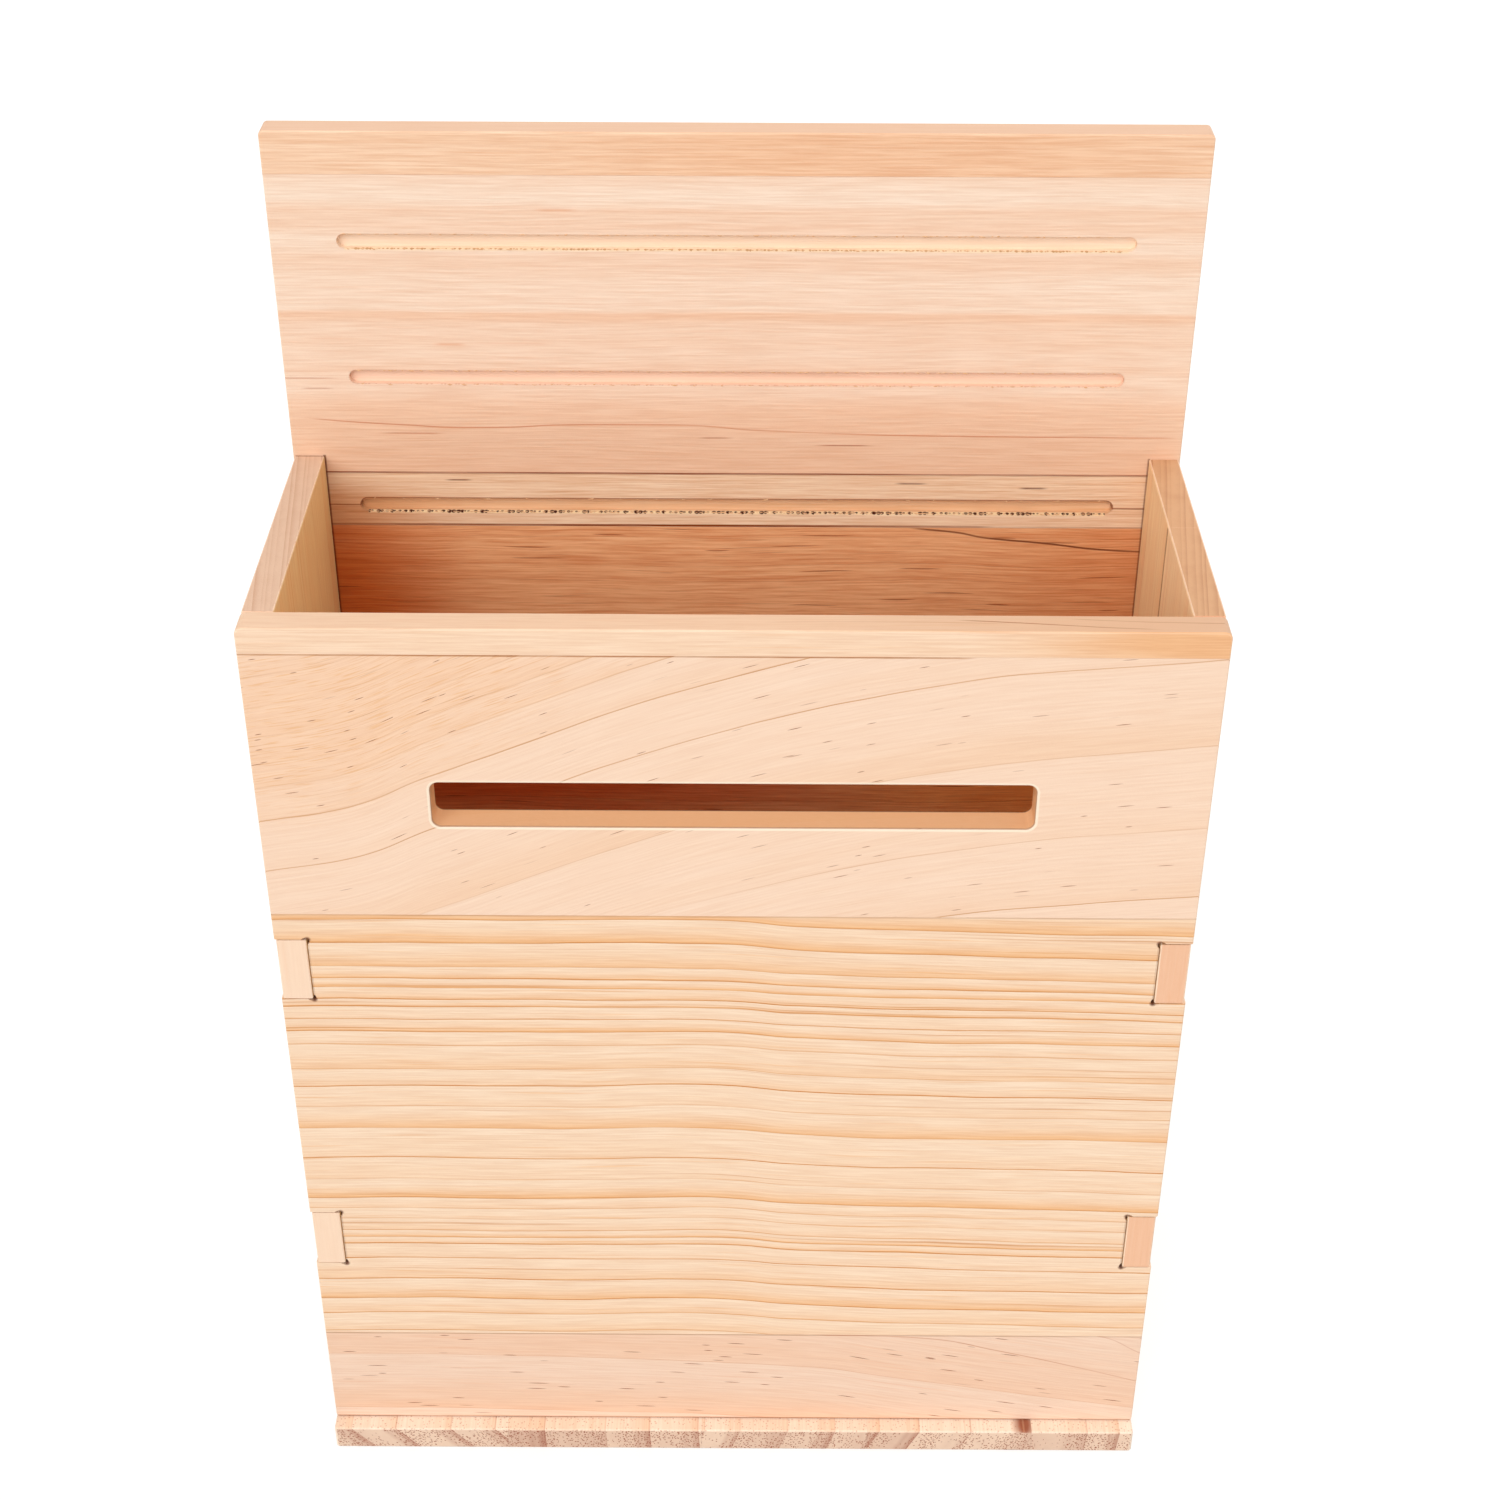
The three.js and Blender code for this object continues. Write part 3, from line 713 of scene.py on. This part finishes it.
STAVES = [
    Stave("front_wide_board", "x", "z", WIDE_BOARD_RINGS, FRONT_FACE,
          (251, 225, 197), (243, 186, 127), (204, 128, 50), bend=WIDE_BOARD_BEND, lean=0.7,
          wave=1.1, tone=0.85, line=0.95, line_width=0.4, strands=0.6, threads=0.5,
          dark_threads=0.12, fibres=0.09, dash_share=0.006, seed=3, notches=NOTCHES,
          marks=[Mark.level(248.1, 0.3, 0.35)]),
    Stave("front_vent_board", "x", "z", VENT_BOARD_RINGS, FRONT_FACE,
          (249, 219, 194), (241, 195, 153), (196, 134, 74), bend=VENT_BOARD_BEND, lean=3.2,
          wave=1.2, tone=0.42, line=0.75, line_width=0.36, threads=0.08, dark_threads=0.03,
          fibres=0.05, dashes=0.85, dash_length=6.5, dash_width=0.32, dash_share=0.1,
          seed=5, slot=True, arris_highlight=0.5,
          flushes=[Flush(-125, 320, 130, 50, (247, 204, 168), 0.6, rough=1.4)],
          marks=[Mark.level(346.8, 0.8, 0.45, end=75, colour=(172, 104, 40))]),
    Stave("front_mouth_strip", "x", "z", even_rings(330, 380, [5.2, 7.4, 4.2, 8.9]), FRONT_FACE,
          (251, 221, 192), (243, 194, 148), (214, 158, 108), lean=0.4, wave=0.3, tone=0.25,
          line=0.15, line_width=0.2, threads=0.45, fibres=0.09, dash_share=0.008, seed=7,
          edge_wash=(220, 177, 143),
          edge_wash_amount=[(-150, 0.35), (0, 0.4), (60, 0.65), (150, 1)], arris_highlight=0.7,
          flushes=[Flush(150, 352, 90, 14, (241, 182, 126), 0.8)],
          marks=[Mark([(66, 7), (90, 5.2), (112, 3), (130, 1.8)], 0.7, 0.35, (160, 96, 54),
                      on_edge=True),
                 Mark([(100, 8), (124, 6.4), (FAR, 5.2)], 0.6, 0.3, (160, 96, 54),
                      on_edge=True),
                 Mark([(8, 5), (40, 5.8), (84, 5)], 0.3, 0.4, (190, 130, 84), on_edge=True)]),
    Stave("front_roof_strip", "x", "z", [-20, 12, 41, 92, 120], FRONT_FACE,
          (245, 215, 192), (239, 174, 121), (204, 134, 78), bend=ROOF_STRIP_BEND, lean=3.5,
          wave=0.8, tone=1.0, line=0.5, threads=0.25, dark_threads=0.12, fibres=0.07,
          dashes=1.0, dash_length=9, dash_width=0.36, dash_share=0.2, seed=9,
          marks=[Mark.level(55.0, 0.5, 0.35, colour=(142, 92, 36)),
                 Mark([(28, 55.3), (73, 53.4), (95, 48), (120, 41), (FAR, 25)], 0.5, 0.35,
                      (186, 104, 56)),
                 Mark([(116, 58), (136, 54.7), (148, 47.7), (FAR, 34)], 0.5, 0.35,
                      (186, 104, 56)),
                 # The line at 10.4 is the joint where the front board meets the roof, darkened
                 # with painted shade.
                 Mark.level(10.4, 0.9, 0.6, colour=(160, 92, 44))]),
    Stave("landing_board", "x", "z", even_rings(330, 480, [13, 19, 9, 16, 24]), BACK_FACE,
          (252, 230, 209), (243, 194, 157), (214, 146, 102), lean=2.5, wave=0.7,
          bands=LANDING_BANDS, tone=0.1, line=0.1, threads=0.22, dark_threads=0.1, fibres=0.09,
          dash_share=0.012, seed=11, grooves=[0, 1], corners=INNER_CORNERS,
          # Painted shade: the landing board darker along its lower edge, where it is occluded.
          flushes=[Flush(0, 350, 1200, 30, (228, 190, 160), 0.5)],
          marks=[Mark.level(349.9, 0.9, 0.4, colour=(128, 54, 14)),
                 Mark([(-146, 370), (-110, 367.6), (-87, 366.8), (-56, 367.9), (-28, 368.1),
                       (6, 366.3), (60, 364.5), (150, 364)], 0.6, 0.35, (190, 102, 56)),
                 Mark.level(384.6, 0.6, 0.35, -FAR, -130, colour=(180, 100, 66)),
                 Mark.level(380.9, 0.6, 0.35, -146, -133, colour=(170, 90, 56)),
                 Mark.level(364.6, 0.6, 0.35, -122, -96, colour=(180, 100, 60)),
                 Mark.level(363.3, 0.7, 0.35, -14, 0, colour=(160, 84, 48)),
                 Mark.level(360.7, 0.7, 0.35, 24, 48, colour=(160, 84, 48)),
                 Mark.level(397, 0.5, 0.7, -101, -88, colour=(224, 152, 106)),
                 Mark.level(443.4, 0.5, 0.7, -66, -49, colour=(224, 152, 106)),
                 Mark.level(455, 0.3, 0.3, colour=(214, 144, 96))]),
    Stave("landing_edge_strip", "x", "z", even_rings(440, 480, [6, 8, 5]), BACK_FACE,
          (251, 217, 186), (241, 191, 150), lean=0.6, wave=0.4, tone=0.3, line=0.05,
          threads=0.5, dark_threads=0.1, fibres=0.12, dash_share=0.004, seed=13,
          flushes=[Flush(50, 461, 150, 26, (243, 190, 148), 0.5)],
          edge_wash=(224, 182, 151), edge_wash_amount=LEVEL_WASH),
    Stave("back_narrow_strip", "x", "z", even_rings(320, 360, [6, 8.5, 5.5]), BACK_FACE,
          (243, 214, 183), (220, 170, 126), (176, 112, 66), lean=0.8, wave=0.5, tone=0.5,
          line=0.2, threads=0.7, dark_threads=0.3, fibres=0.15, dash_share=0.012, seed=15,
          grooves=[2], corners=INNER_CORNERS,
          # Painted shade near the left side board.
          flushes=[Flush(-142, 334, 55, 16, (206, 136, 76), 0.7)],
          marks=[Mark.level(337.4, 0.9, 0.35, -FAR, -128, fade=0.5),
                 Mark.level(337.2, 0.9, 0.35, 128, FAR, fade=0.5),
                 Mark.level(349.5, 0.5, 0.3), Mark.level(329.9, 1.0, 0.6, end=90),
                 Mark.level(329.8, 0.4, 0.4, start=60),
                 Mark.level(346.4, 0.9, 0.5, 53, 66, colour=(90, 36, 10), fade=4),
                 Mark.level(344.8, 0.9, 0.5, 95, 107, colour=(90, 36, 10), fade=4),
                 Mark.level(347.1, 0.8, 0.4, -100, -89, colour=(110, 50, 20), fade=4)]),
    Stave("back_chamber_board", "x", "z", even_rings(160, 350, [7, 9, 6, 11]), BACK_FACE,
          (248, 212, 182), (222, 162, 120), (128, 64, 26), lean=1.2, wave=1.6, tone=0.45,
          line=0.35, threads=0.7, dark_threads=0.6, fibres=0.2, dashes=0.65, dash_length=22,
          dash_width=0.6, dash_share=0.3, seed=17, inner_shade_tint=(249, 225, 196), grooves=[3, 4, 5],
          corners=INNER_CORNERS, notches=NOTCHES,
          # Painted shade deep in the chamber: dark red-brown left of the middle, warm orange
          # right of it, and darker towards both side boards.
          flushes=[Flush(-70, 228, 170, 34, (208, 96, 28), 0.9),
                   Flush(120, 228, 110, 40, (255, 192, 126), 0.95),
                   Flush(-142, 300, 64, 60, (212, 118, 36), 0.9),
                   Flush(142, 300, 78, 60, (218, 142, 82), 0.4)],
          marks=[Mark([(58, 329.4), (75, 327.8), (86, 325.6), (106, 323.6), (132, 320.8),
                       (FAR, 320)], 0.9, 0.5, (104, 46, 14))]),
    Stave("back_roof_board", "x", "z", even_rings(-10, 200, [9, 12, 7, 14]), BACK_FACE,
          (247, 208, 172), (232, 172, 124), lean=1.6, wave=1.2, tone=0.7, line=0.5,
          strands=0.4, seed=19, inner_shade_tint=(235, 200, 165), grooves=[6, 7, 8],
          corners=INNER_CORNERS, notches=NOTCHES),
    Stave("left_side_board", "z", "y", SIDE_RINGS, -SIDE_FACE,
          (255, 228, 202), (250, 196, 150), (196, 124, 68), lean=9, wave=2, tone=0.35, line=0.5,
          strands=0.3, threads=0.45, dark_threads=0.15, fibres=0.09, dash_share=0.01, seed=21,
          edge_calm=0.15, edge_wash=(248, 216, 188), edge_wash_amount=LEVEL_WASH,
          end_pale=(227, 190, 162), end_dark=(188, 132, 96), end_tone=1.3,
          inner_shade_tint=(255, 247, 203), corners=[Corner("y", BACK_FACE, 0.6, 1)],
          far_side=-1),
    Stave("right_side_front_board", "z", "y", SIDE_RINGS, SIDE_FACE,
          (255, 228, 202), (250, 196, 150), (196, 124, 68), lean=-8, wave=2, tone=0.32,
          line=0.5, strands=0.3, threads=0.45, dark_threads=0.15, fibres=0.1, dash_share=0.01,
          seed=23, edge_calm=0.15, edge_wash=(238, 182, 144), edge_wash_amount=LEVEL_WASH,
          end_pale=(214, 165, 123), end_dark=(162, 92, 48), end_tone=1.3,
          inner_shade_tint=(255, 251, 228)),
    Stave("right_side_rear_board", "z", "y", SIDE_RINGS, SIDE_FACE,
          (255, 228, 201), (249, 194, 147), (196, 124, 68), lean=-8, wave=2, tone=0.36,
          line=0.5, strands=0.3, threads=0.45, dark_threads=0.15, fibres=0.1, dash_share=0.01,
          seed=23, edge_calm=0.15, end_pale=(214, 165, 123), end_dark=(162, 92, 48),
          end_tone=1.3, inner_shade_tint=(255, 250, 224),
          corners=[Corner("y", BACK_FACE, 0.6, 1.4, top=MOUTH_Z - 0.5),
                   # The line at 6.95 is the dark joint between the right side's two staves.
                   Corner("y", 6.95, 0.7, 2.4, top=MOUTH_Z - 0.5)]),
]

# Each roof stave's rings across it, their lean on its end, and the dark heartwood on its rim.
ROOF_STAVES = [
    ([-160, -139, -122.3, -101.7, -85], 0.9, []),
    ([-90, -70.7, -47.8, -31.3, -13, 4], 0.05, []),
    ([-30, -12.5, 0.8, 18.7, 36.5, 51], -0.35, []),
    ([40, 52.4, 67.4, 86.8, 111, 125], -0.5, [Flush(-61, 106.8, 11, 5.5, (158, 92, 66))]),
    ([108, 132.5, 144.5, 160], -0.1, []),
]
ROOF_MIDDLE = BOARD_THICKNESS / 2
for i, (rings, lean, heartwood) in enumerate(ROOF_STAVES):
    STAVES.append(
        Stave(f"roof_board_{i + 1}", "y", "x", rings, ROOF_MIDDLE,
              (255, 236, 215), (244, 198, 158), (190, 116, 76), growth=1, lean=lean, wave=0,
              tone=0.5, ring_shade=0.32, line=0.35, line_width=0.5, profile=BAR_TONE,
              threads=0.2, dark_threads=0.1, dash_share=0.01, face_specks=0.45,
              end_pale=(237, 207, 182), end_dark=(183, 130, 108), end_tone=1.35,
              end_specks=1.0, arris_highlight=0, far_side=-1, flushes=heartwood, seed=31 + 2 * i)
    )

for stave in STAVES:
    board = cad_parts[stave.node]
    board.data.materials.clear()
    board.data.materials.append(pine(stave))


# Steel.

def steel(name, dark, pale):
    """Bare steel, brushed along Z, between two tones."""
    material = bpy.data.materials.new(name)
    tree = Tree(material)
    shader = tree.nodes["Principled BSDF"]
    x, y, z = tree.place()
    stroke_width, stroke_length, cloud_size = 0.25, 9, 6
    brushed = tree.noise(tree.vector(x / stroke_width, y / stroke_width, z / stroke_length), 3)
    cloud = tree.noise(tree.vector(x / cloud_size, y / cloud_size, z / cloud_size), 3)
    colour = tree.blend(brushed * 0.4 + cloud * 0.3 + 0.5, srgb(*dark), srgb(*pale))
    tree.feed(shader.inputs["Base Color"], colour)
    shader.inputs["Metallic"].default_value = 1
    tree.feed(shader.inputs["Roughness"], brushed * 0.05 + cloud * 0.03 + 0.34)
    tree.bump(shader, brushed, STEEL_RELIEF * MM)
    return material


STEEL = steel("brushed_steel", (168, 170, 174), (206, 208, 210))
# The cross recesses get a darker copy of the steel: painted shade in the recess.
RECESS_SHADE_STEEL = steel("recess_shade_steel", (58, 58, 62), (96, 97, 100))


# Pieces made here. A shape is a list of points and a list of faces, in millimetres.

class Shape:
    def __init__(self):
        self.points = []
        self.faces = []

    def ring(self, points):
        """Adds a loop of points and returns their numbers."""
        start = len(self.points)
        self.points += [tuple(point) for point in points]
        return list(range(start, len(self.points)))

    def join(self, one, other):
        """Walls between two loops with as many points."""
        for i, corner in enumerate(one):
            j = (i + 1) % len(one)
            self.faces.append((corner, one[j], other[j], other[i]))

    def close(self, loop, tip):
        """A fan from a loop to a point."""
        last, = self.ring([tip])
        for i, corner in enumerate(loop):
            self.faces.append((corner, loop[(i + 1) % len(loop)], last))

    def skin(self, loops, start, end):
        """Walls through loops of points, closed by a point at both ends."""
        loops = [self.ring(loop) for loop in loops]
        for one, other in zip(loops, loops[1:]):
            self.join(one, other)
        self.close(loops[0][::-1], start)
        self.close(loops[-1], end)

    def lathe(self, outline, sides):
        """Turns an outline of radius and height, whose ends are on the axis."""
        turns = [2 * math.pi * i / sides for i in range(sides)]
        loops = [[(radius * math.cos(turn), radius * math.sin(turn), height) for turn in turns]
                 for radius, height in outline[1:-1]]
        self.skin(loops, (0, 0, outline[0][1]), (0, 0, outline[-1][1]))

    def sliver(self, spine, width, thickness):
        """A thin splinter along a spine of points, tapering to both ends."""
        loops = []
        for i, point in enumerate(spine[1:-1], start=1):
            swell = math.sin(math.pi * i / (len(spine) - 1))
            over = Vector((0, 0, width * swell))
            out = Vector((0, -thickness * swell, 0))
            middle = Vector(point)
            loops.append([middle + over, middle + out, middle - over, middle - out])
        self.skin(loops, spine[0], spine[-1])

    def piece(self, name, material):
        mesh = bpy.data.meshes.new(name)
        mesh.from_pydata([Vector(point) * MM for point in self.points], [], self.faces)
        mesh.materials.append(material)
        thing = bpy.data.objects.new(name, mesh)
        bpy.context.scene.collection.objects.link(thing)
        return thing


def torn_fibre():
    """Dry, lifted fibres, with flecks drawn out along the grain."""
    material = bpy.data.materials.new("torn_fibre")
    tree = Tree(material)
    shader = tree.nodes["Principled BSDF"]
    x, y, z = tree.place()
    fleck_length, fleck_width = 1.3, 0.3
    fleck = tree.noise(tree.vector(x / fleck_length, y / fleck_width, z / fleck_width), 3)
    colour = tree.blend(fleck * 0.5 + 0.5, srgb(206, 142, 88), srgb(250, 214, 170))
    tree.feed(shader.inputs["Base Color"], colour)
    shader.inputs["Roughness"].default_value = 0.8
    tree.bump(shader, fleck, TORN_RELIEF * MM)
    return material


# Least and most of a splinter's sizes, of how far it lifts and turns up or down, of the way to
# the next one, and of the way to the first.
SPLINTER_LENGTH = (0.7, 2.6)
SPLINTER_WIDTH = (0.12, 0.28)
SPLINTER_THICKNESS = (0.06, 0.15)
SPLINTER_LIFT = (0.05, 0.45)
SPLINTER_DROP = (-0.4, 0.35)
SPLINTER_STEP = (0.4, 1.6)
SPLINTER_START = (0, 3)

# How deep a splinter's ends sit in the board, and how far they stand in from the groove's edge.
SPLINTER_SINK = 0.12
SPLINTER_INSET = 0.1


def torn_edge(shape, draw, edge, side, amount):
    """Splinters along a groove's edge. The worse it is torn, the closer they stand."""
    straight = GROOVE_REACH - GROOVE_WIDTH / 2
    steps = 5
    x = -straight + draw.uniform(*SPLINTER_START)
    while x < straight:
        length = draw.uniform(*SPLINTER_LENGTH)
        lift = draw.uniform(*SPLINTER_LIFT)
        drop = draw.uniform(*SPLINTER_DROP)
        spine = []
        for i in range(steps + 1):
            share = i / steps
            hump = math.sin(math.pi * share)
            spine.append((x + length * (share - 0.5), BACK_FACE + SPLINTER_SINK - lift * hump,
                          edge + drop * share ** 2 - side * SPLINTER_INSET))
        shape.sliver(spine, draw.uniform(*SPLINTER_WIDTH), draw.uniform(*SPLINTER_THICKNESS))
        x += draw.uniform(*SPLINTER_STEP) / amount


def groove_tears():
    """One piece of torn fibres for each groove, along both of its edges."""
    draw = Random(7)
    fibre = torn_fibre()
    for i, groove in enumerate(GROOVES):
        shape = Shape()
        middle = groove_height(i)
        torn_edge(shape, draw, middle - GROOVE_WIDTH / 2, -1, max(groove.pits * 0.6, 0.15))
        torn_edge(shape, draw, middle + GROOVE_WIDTH / 2, 1, 0.35 - groove.pits * 0.25)
        piece = shape.piece(f"groove_tears_{i + 1}", fibre)
        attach(piece, "root")


groove_tears()


# Wood screws with rounded rims and cross recesses, in place of the frame's plain ones.

@dataclass
class Screw:
    diameter: float
    head: float
    length: float


ROOF_SCREW = Screw(3, 6, 25)
HANGER_SCREW = Screw(2.5, 4.6, 8)
SCREW_SIDES = 40


def cross_recess(head):
    """The tapering cross that a driver fits, as shares of the head's diameter. It starts a
    little above the head, to cut it clean."""
    shape = Shape()
    long_share, wide_share, deep_share, floor_share = 0.29, 0.06, 0.24, 0.13
    above = -0.5
    long, wide, floor = (head * share for share in (long_share, wide_share, floor_share))
    for x, y in ((long, wide), (wide, long)):
        top = shape.ring(
            [(-x, -y, above), (x, -y, above), (x, y, above), (-x, y, above)])
        low_x, low_y = (min(size, floor) for size in (x, y))
        deep = head * deep_share
        low = shape.ring(
            [(-low_x, -low_y, deep), (low_x, -low_y, deep), (low_x, low_y, deep),
             (-low_x, low_y, deep)])
        shape.join(top, low)
        shape.faces += [tuple(top[::-1]), tuple(low)]
    return shape


def cut_from(body, cutter):
    """Takes the cutter's shape out of the body's mesh, which has the cutter's material in the
    hollow. The cutter goes, and its parts may overlap."""
    cut = body.modifiers.new("cut", "BOOLEAN")
    cut.object = cutter
    cut.solver = "EXACT"
    cut.use_self = True
    cut.material_mode = "TRANSFER"
    bpy.context.view_layer.update()
    graph = bpy.context.evaluated_depsgraph_get()
    mesh = bpy.data.meshes.new_from_object(body.evaluated_get(graph))
    body.modifiers.remove(cut)
    body.data = mesh
    bpy.data.objects.remove(cutter)


def fine_screw(name, size, turn):
    """A countersunk screw, its head's top at zero and its point up, turned into place."""
    head, length = size.head, size.length
    rim_share, flat_share, round_share, shank_share = 0.05, 0.42, 0.47, 0.42
    taper_share, tip_share = 0.84, 0.94
    rim = head * rim_share
    shank = size.diameter * shank_share
    neck = rim + head / 2 - shank
    shape = Shape()
    shape.lathe([
        (0, 0), (head * flat_share, 0), (head * round_share, rim * 0.2), (head / 2, rim * 0.7),
        (head / 2, rim), (shank, neck), (shank, length * taper_share),
        (shank * 0.5, length * tip_share), (0, length),
    ], SCREW_SIDES)
    body = shape.piece(name, STEEL)
    cut_from(body, cross_recess(head).piece(name + "_recess", RECESS_SHADE_STEEL))
    body.data.transform(turn)
    return body


for name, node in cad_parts.items():
    if "plate" in name:
        node.data.materials.clear()
        node.data.materials.append(STEEL)

for name in [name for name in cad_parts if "screw" in name]:
    low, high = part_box(name)
    middle = (low + high) / 2
    if name.startswith("roof"):
        place = Matrix.Translation((middle.x, middle.y, low.z))
        made = fine_screw("fine_" + name, ROOF_SCREW, place)
    else:
        face_in = Matrix.Rotation(math.radians(90), 4, "X")
        place = Matrix.Translation((middle.x, high.y, middle.z)) @ face_in
        made = fine_screw("fine_" + name, HANGER_SCREW, place)
    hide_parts(name)
    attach(made, "root")


# Camera, floor and light.

# The camera's place in metres, how far it looks down, aside and over in degrees, and its lens
# and frame in millimetres.
CAMERA_PLACE = (0.0070, -0.69213, 0.73460)
CAMERA_ANGLES = (33.651, -0.163, 0.200)
CAMERA_LENS = 59.03
CAMERA_FRAME = 36

# The floor reaches this far each way in metres, and lies this far below the roof in millimetres.
FLOOR_REACH = 20
FLOOR_DROP = 0.2
FLOOR_COLOUR = srgb(176, 175, 173)

# How much the floor is lifted towards white, where it is seen directly, and how bright the room
# is for the object.
FLOOR_LIFT = 0.64
ROOM_LIGHT = 0.62

# Name, azimuth from the front, height in degrees, strength, softness in degrees.
LAMPS = [
    ("key_lamp", -24, 32, 1.8, 55),
    ("fill_lamp", 35, 25, 0.3, 90),
    ("rear_lamp", 145, 12, 1.5, 100),
]


def photograph_camera():
    """A camera that sees the box as the photograph does."""
    tilt, pan, roll = (math.radians(angle) for angle in CAMERA_ANGLES)
    forward = Vector((
        math.sin(pan) * math.cos(tilt), math.cos(pan) * math.cos(tilt), -math.sin(tilt)))
    level = Vector((math.cos(pan), -math.sin(pan), 0))
    upright = level.cross(forward)
    right = math.cos(roll) * level + math.sin(roll) * upright
    up = -math.sin(roll) * level + math.cos(roll) * upright
    data = bpy.data.cameras.new("camera")
    data.lens = CAMERA_LENS
    data.sensor_width = CAMERA_FRAME
    camera = bpy.data.objects.new("camera", data)
    turn = Matrix((right, up, -forward)).transposed().to_4x4()
    camera.matrix_world = Matrix.Translation(CAMERA_PLACE) @ turn
    bpy.context.scene.collection.objects.link(camera)
    bpy.context.scene.camera = camera


def seen_directly(tree):
    """One for rays from the camera, from mirrors and through glass, otherwise zero."""
    path = tree.add("LightPath")
    rays = [Field(tree, path.outputs[f"Is {kind} Ray"])
            for kind in ("Camera", "Glossy", "Transmission")]
    return rays[0].math("MAXIMUM", rays[1]).math("MAXIMUM", rays[2])


def lay_floor():
    """A plain floor that looks white and keeps the box's shadow."""
    mesh = bpy.data.meshes.new("floor")
    sides = ((-1, -1), (1, -1), (1, 1), (-1, 1))
    corners = [(x * FLOOR_REACH, y * FLOOR_REACH, 0) for x, y in sides]
    mesh.from_pydata(corners, [], [(0, 1, 2, 3)])
    floor = bpy.data.objects.new("floor", mesh)
    floor.location.z = -FLOOR_DROP * MM
    bpy.context.scene.collection.objects.link(floor)
    material = bpy.data.materials.new("floor")
    tree = Tree(material)
    tree.nodes.remove(tree.nodes["Principled BSDF"])
    diffuse = tree.add("BsdfDiffuse", Color=FLOOR_COLOUR)
    lift = tree.add("Emission", Strength=seen_directly(tree) * FLOOR_LIFT)
    both = tree.add("AddShader")
    for socket, shader in zip(both.inputs, (diffuse, lift)):
        tree.links.new(shader.outputs[0], socket)
    tree.links.new(both.outputs[0], tree.nodes["Material Output"].inputs["Surface"])
    mesh.materials.append(material)


def light_room():
    """A white room and three soft lamps."""
    world = bpy.data.worlds.new("studio")
    bpy.context.scene.world = world
    tree = Tree(world)
    background = tree.nodes["Background"]
    background.inputs["Color"].default_value = (1, 1, 1, 1)
    tree.feed(background.inputs["Strength"], seen_directly(tree).ramp(0, 1, ROOM_LIGHT, 1))
    for name, azimuth, elevation, strength, softness in LAMPS:
        data = bpy.data.lights.new(name, "SUN")
        data.energy = strength
        data.angle = math.radians(softness)
        lamp = bpy.data.objects.new(name, data)
        turn = Matrix.Rotation(math.radians(azimuth), 3, "Z")
        turn = turn @ Matrix.Rotation(math.radians(90 - elevation), 3, "X")
        lamp.matrix_world = turn.to_4x4()
        bpy.context.scene.collection.objects.link(lamp)


photograph_camera()
lay_floor()
light_room()
bpy.context.scene.view_settings.view_transform = "Standard"
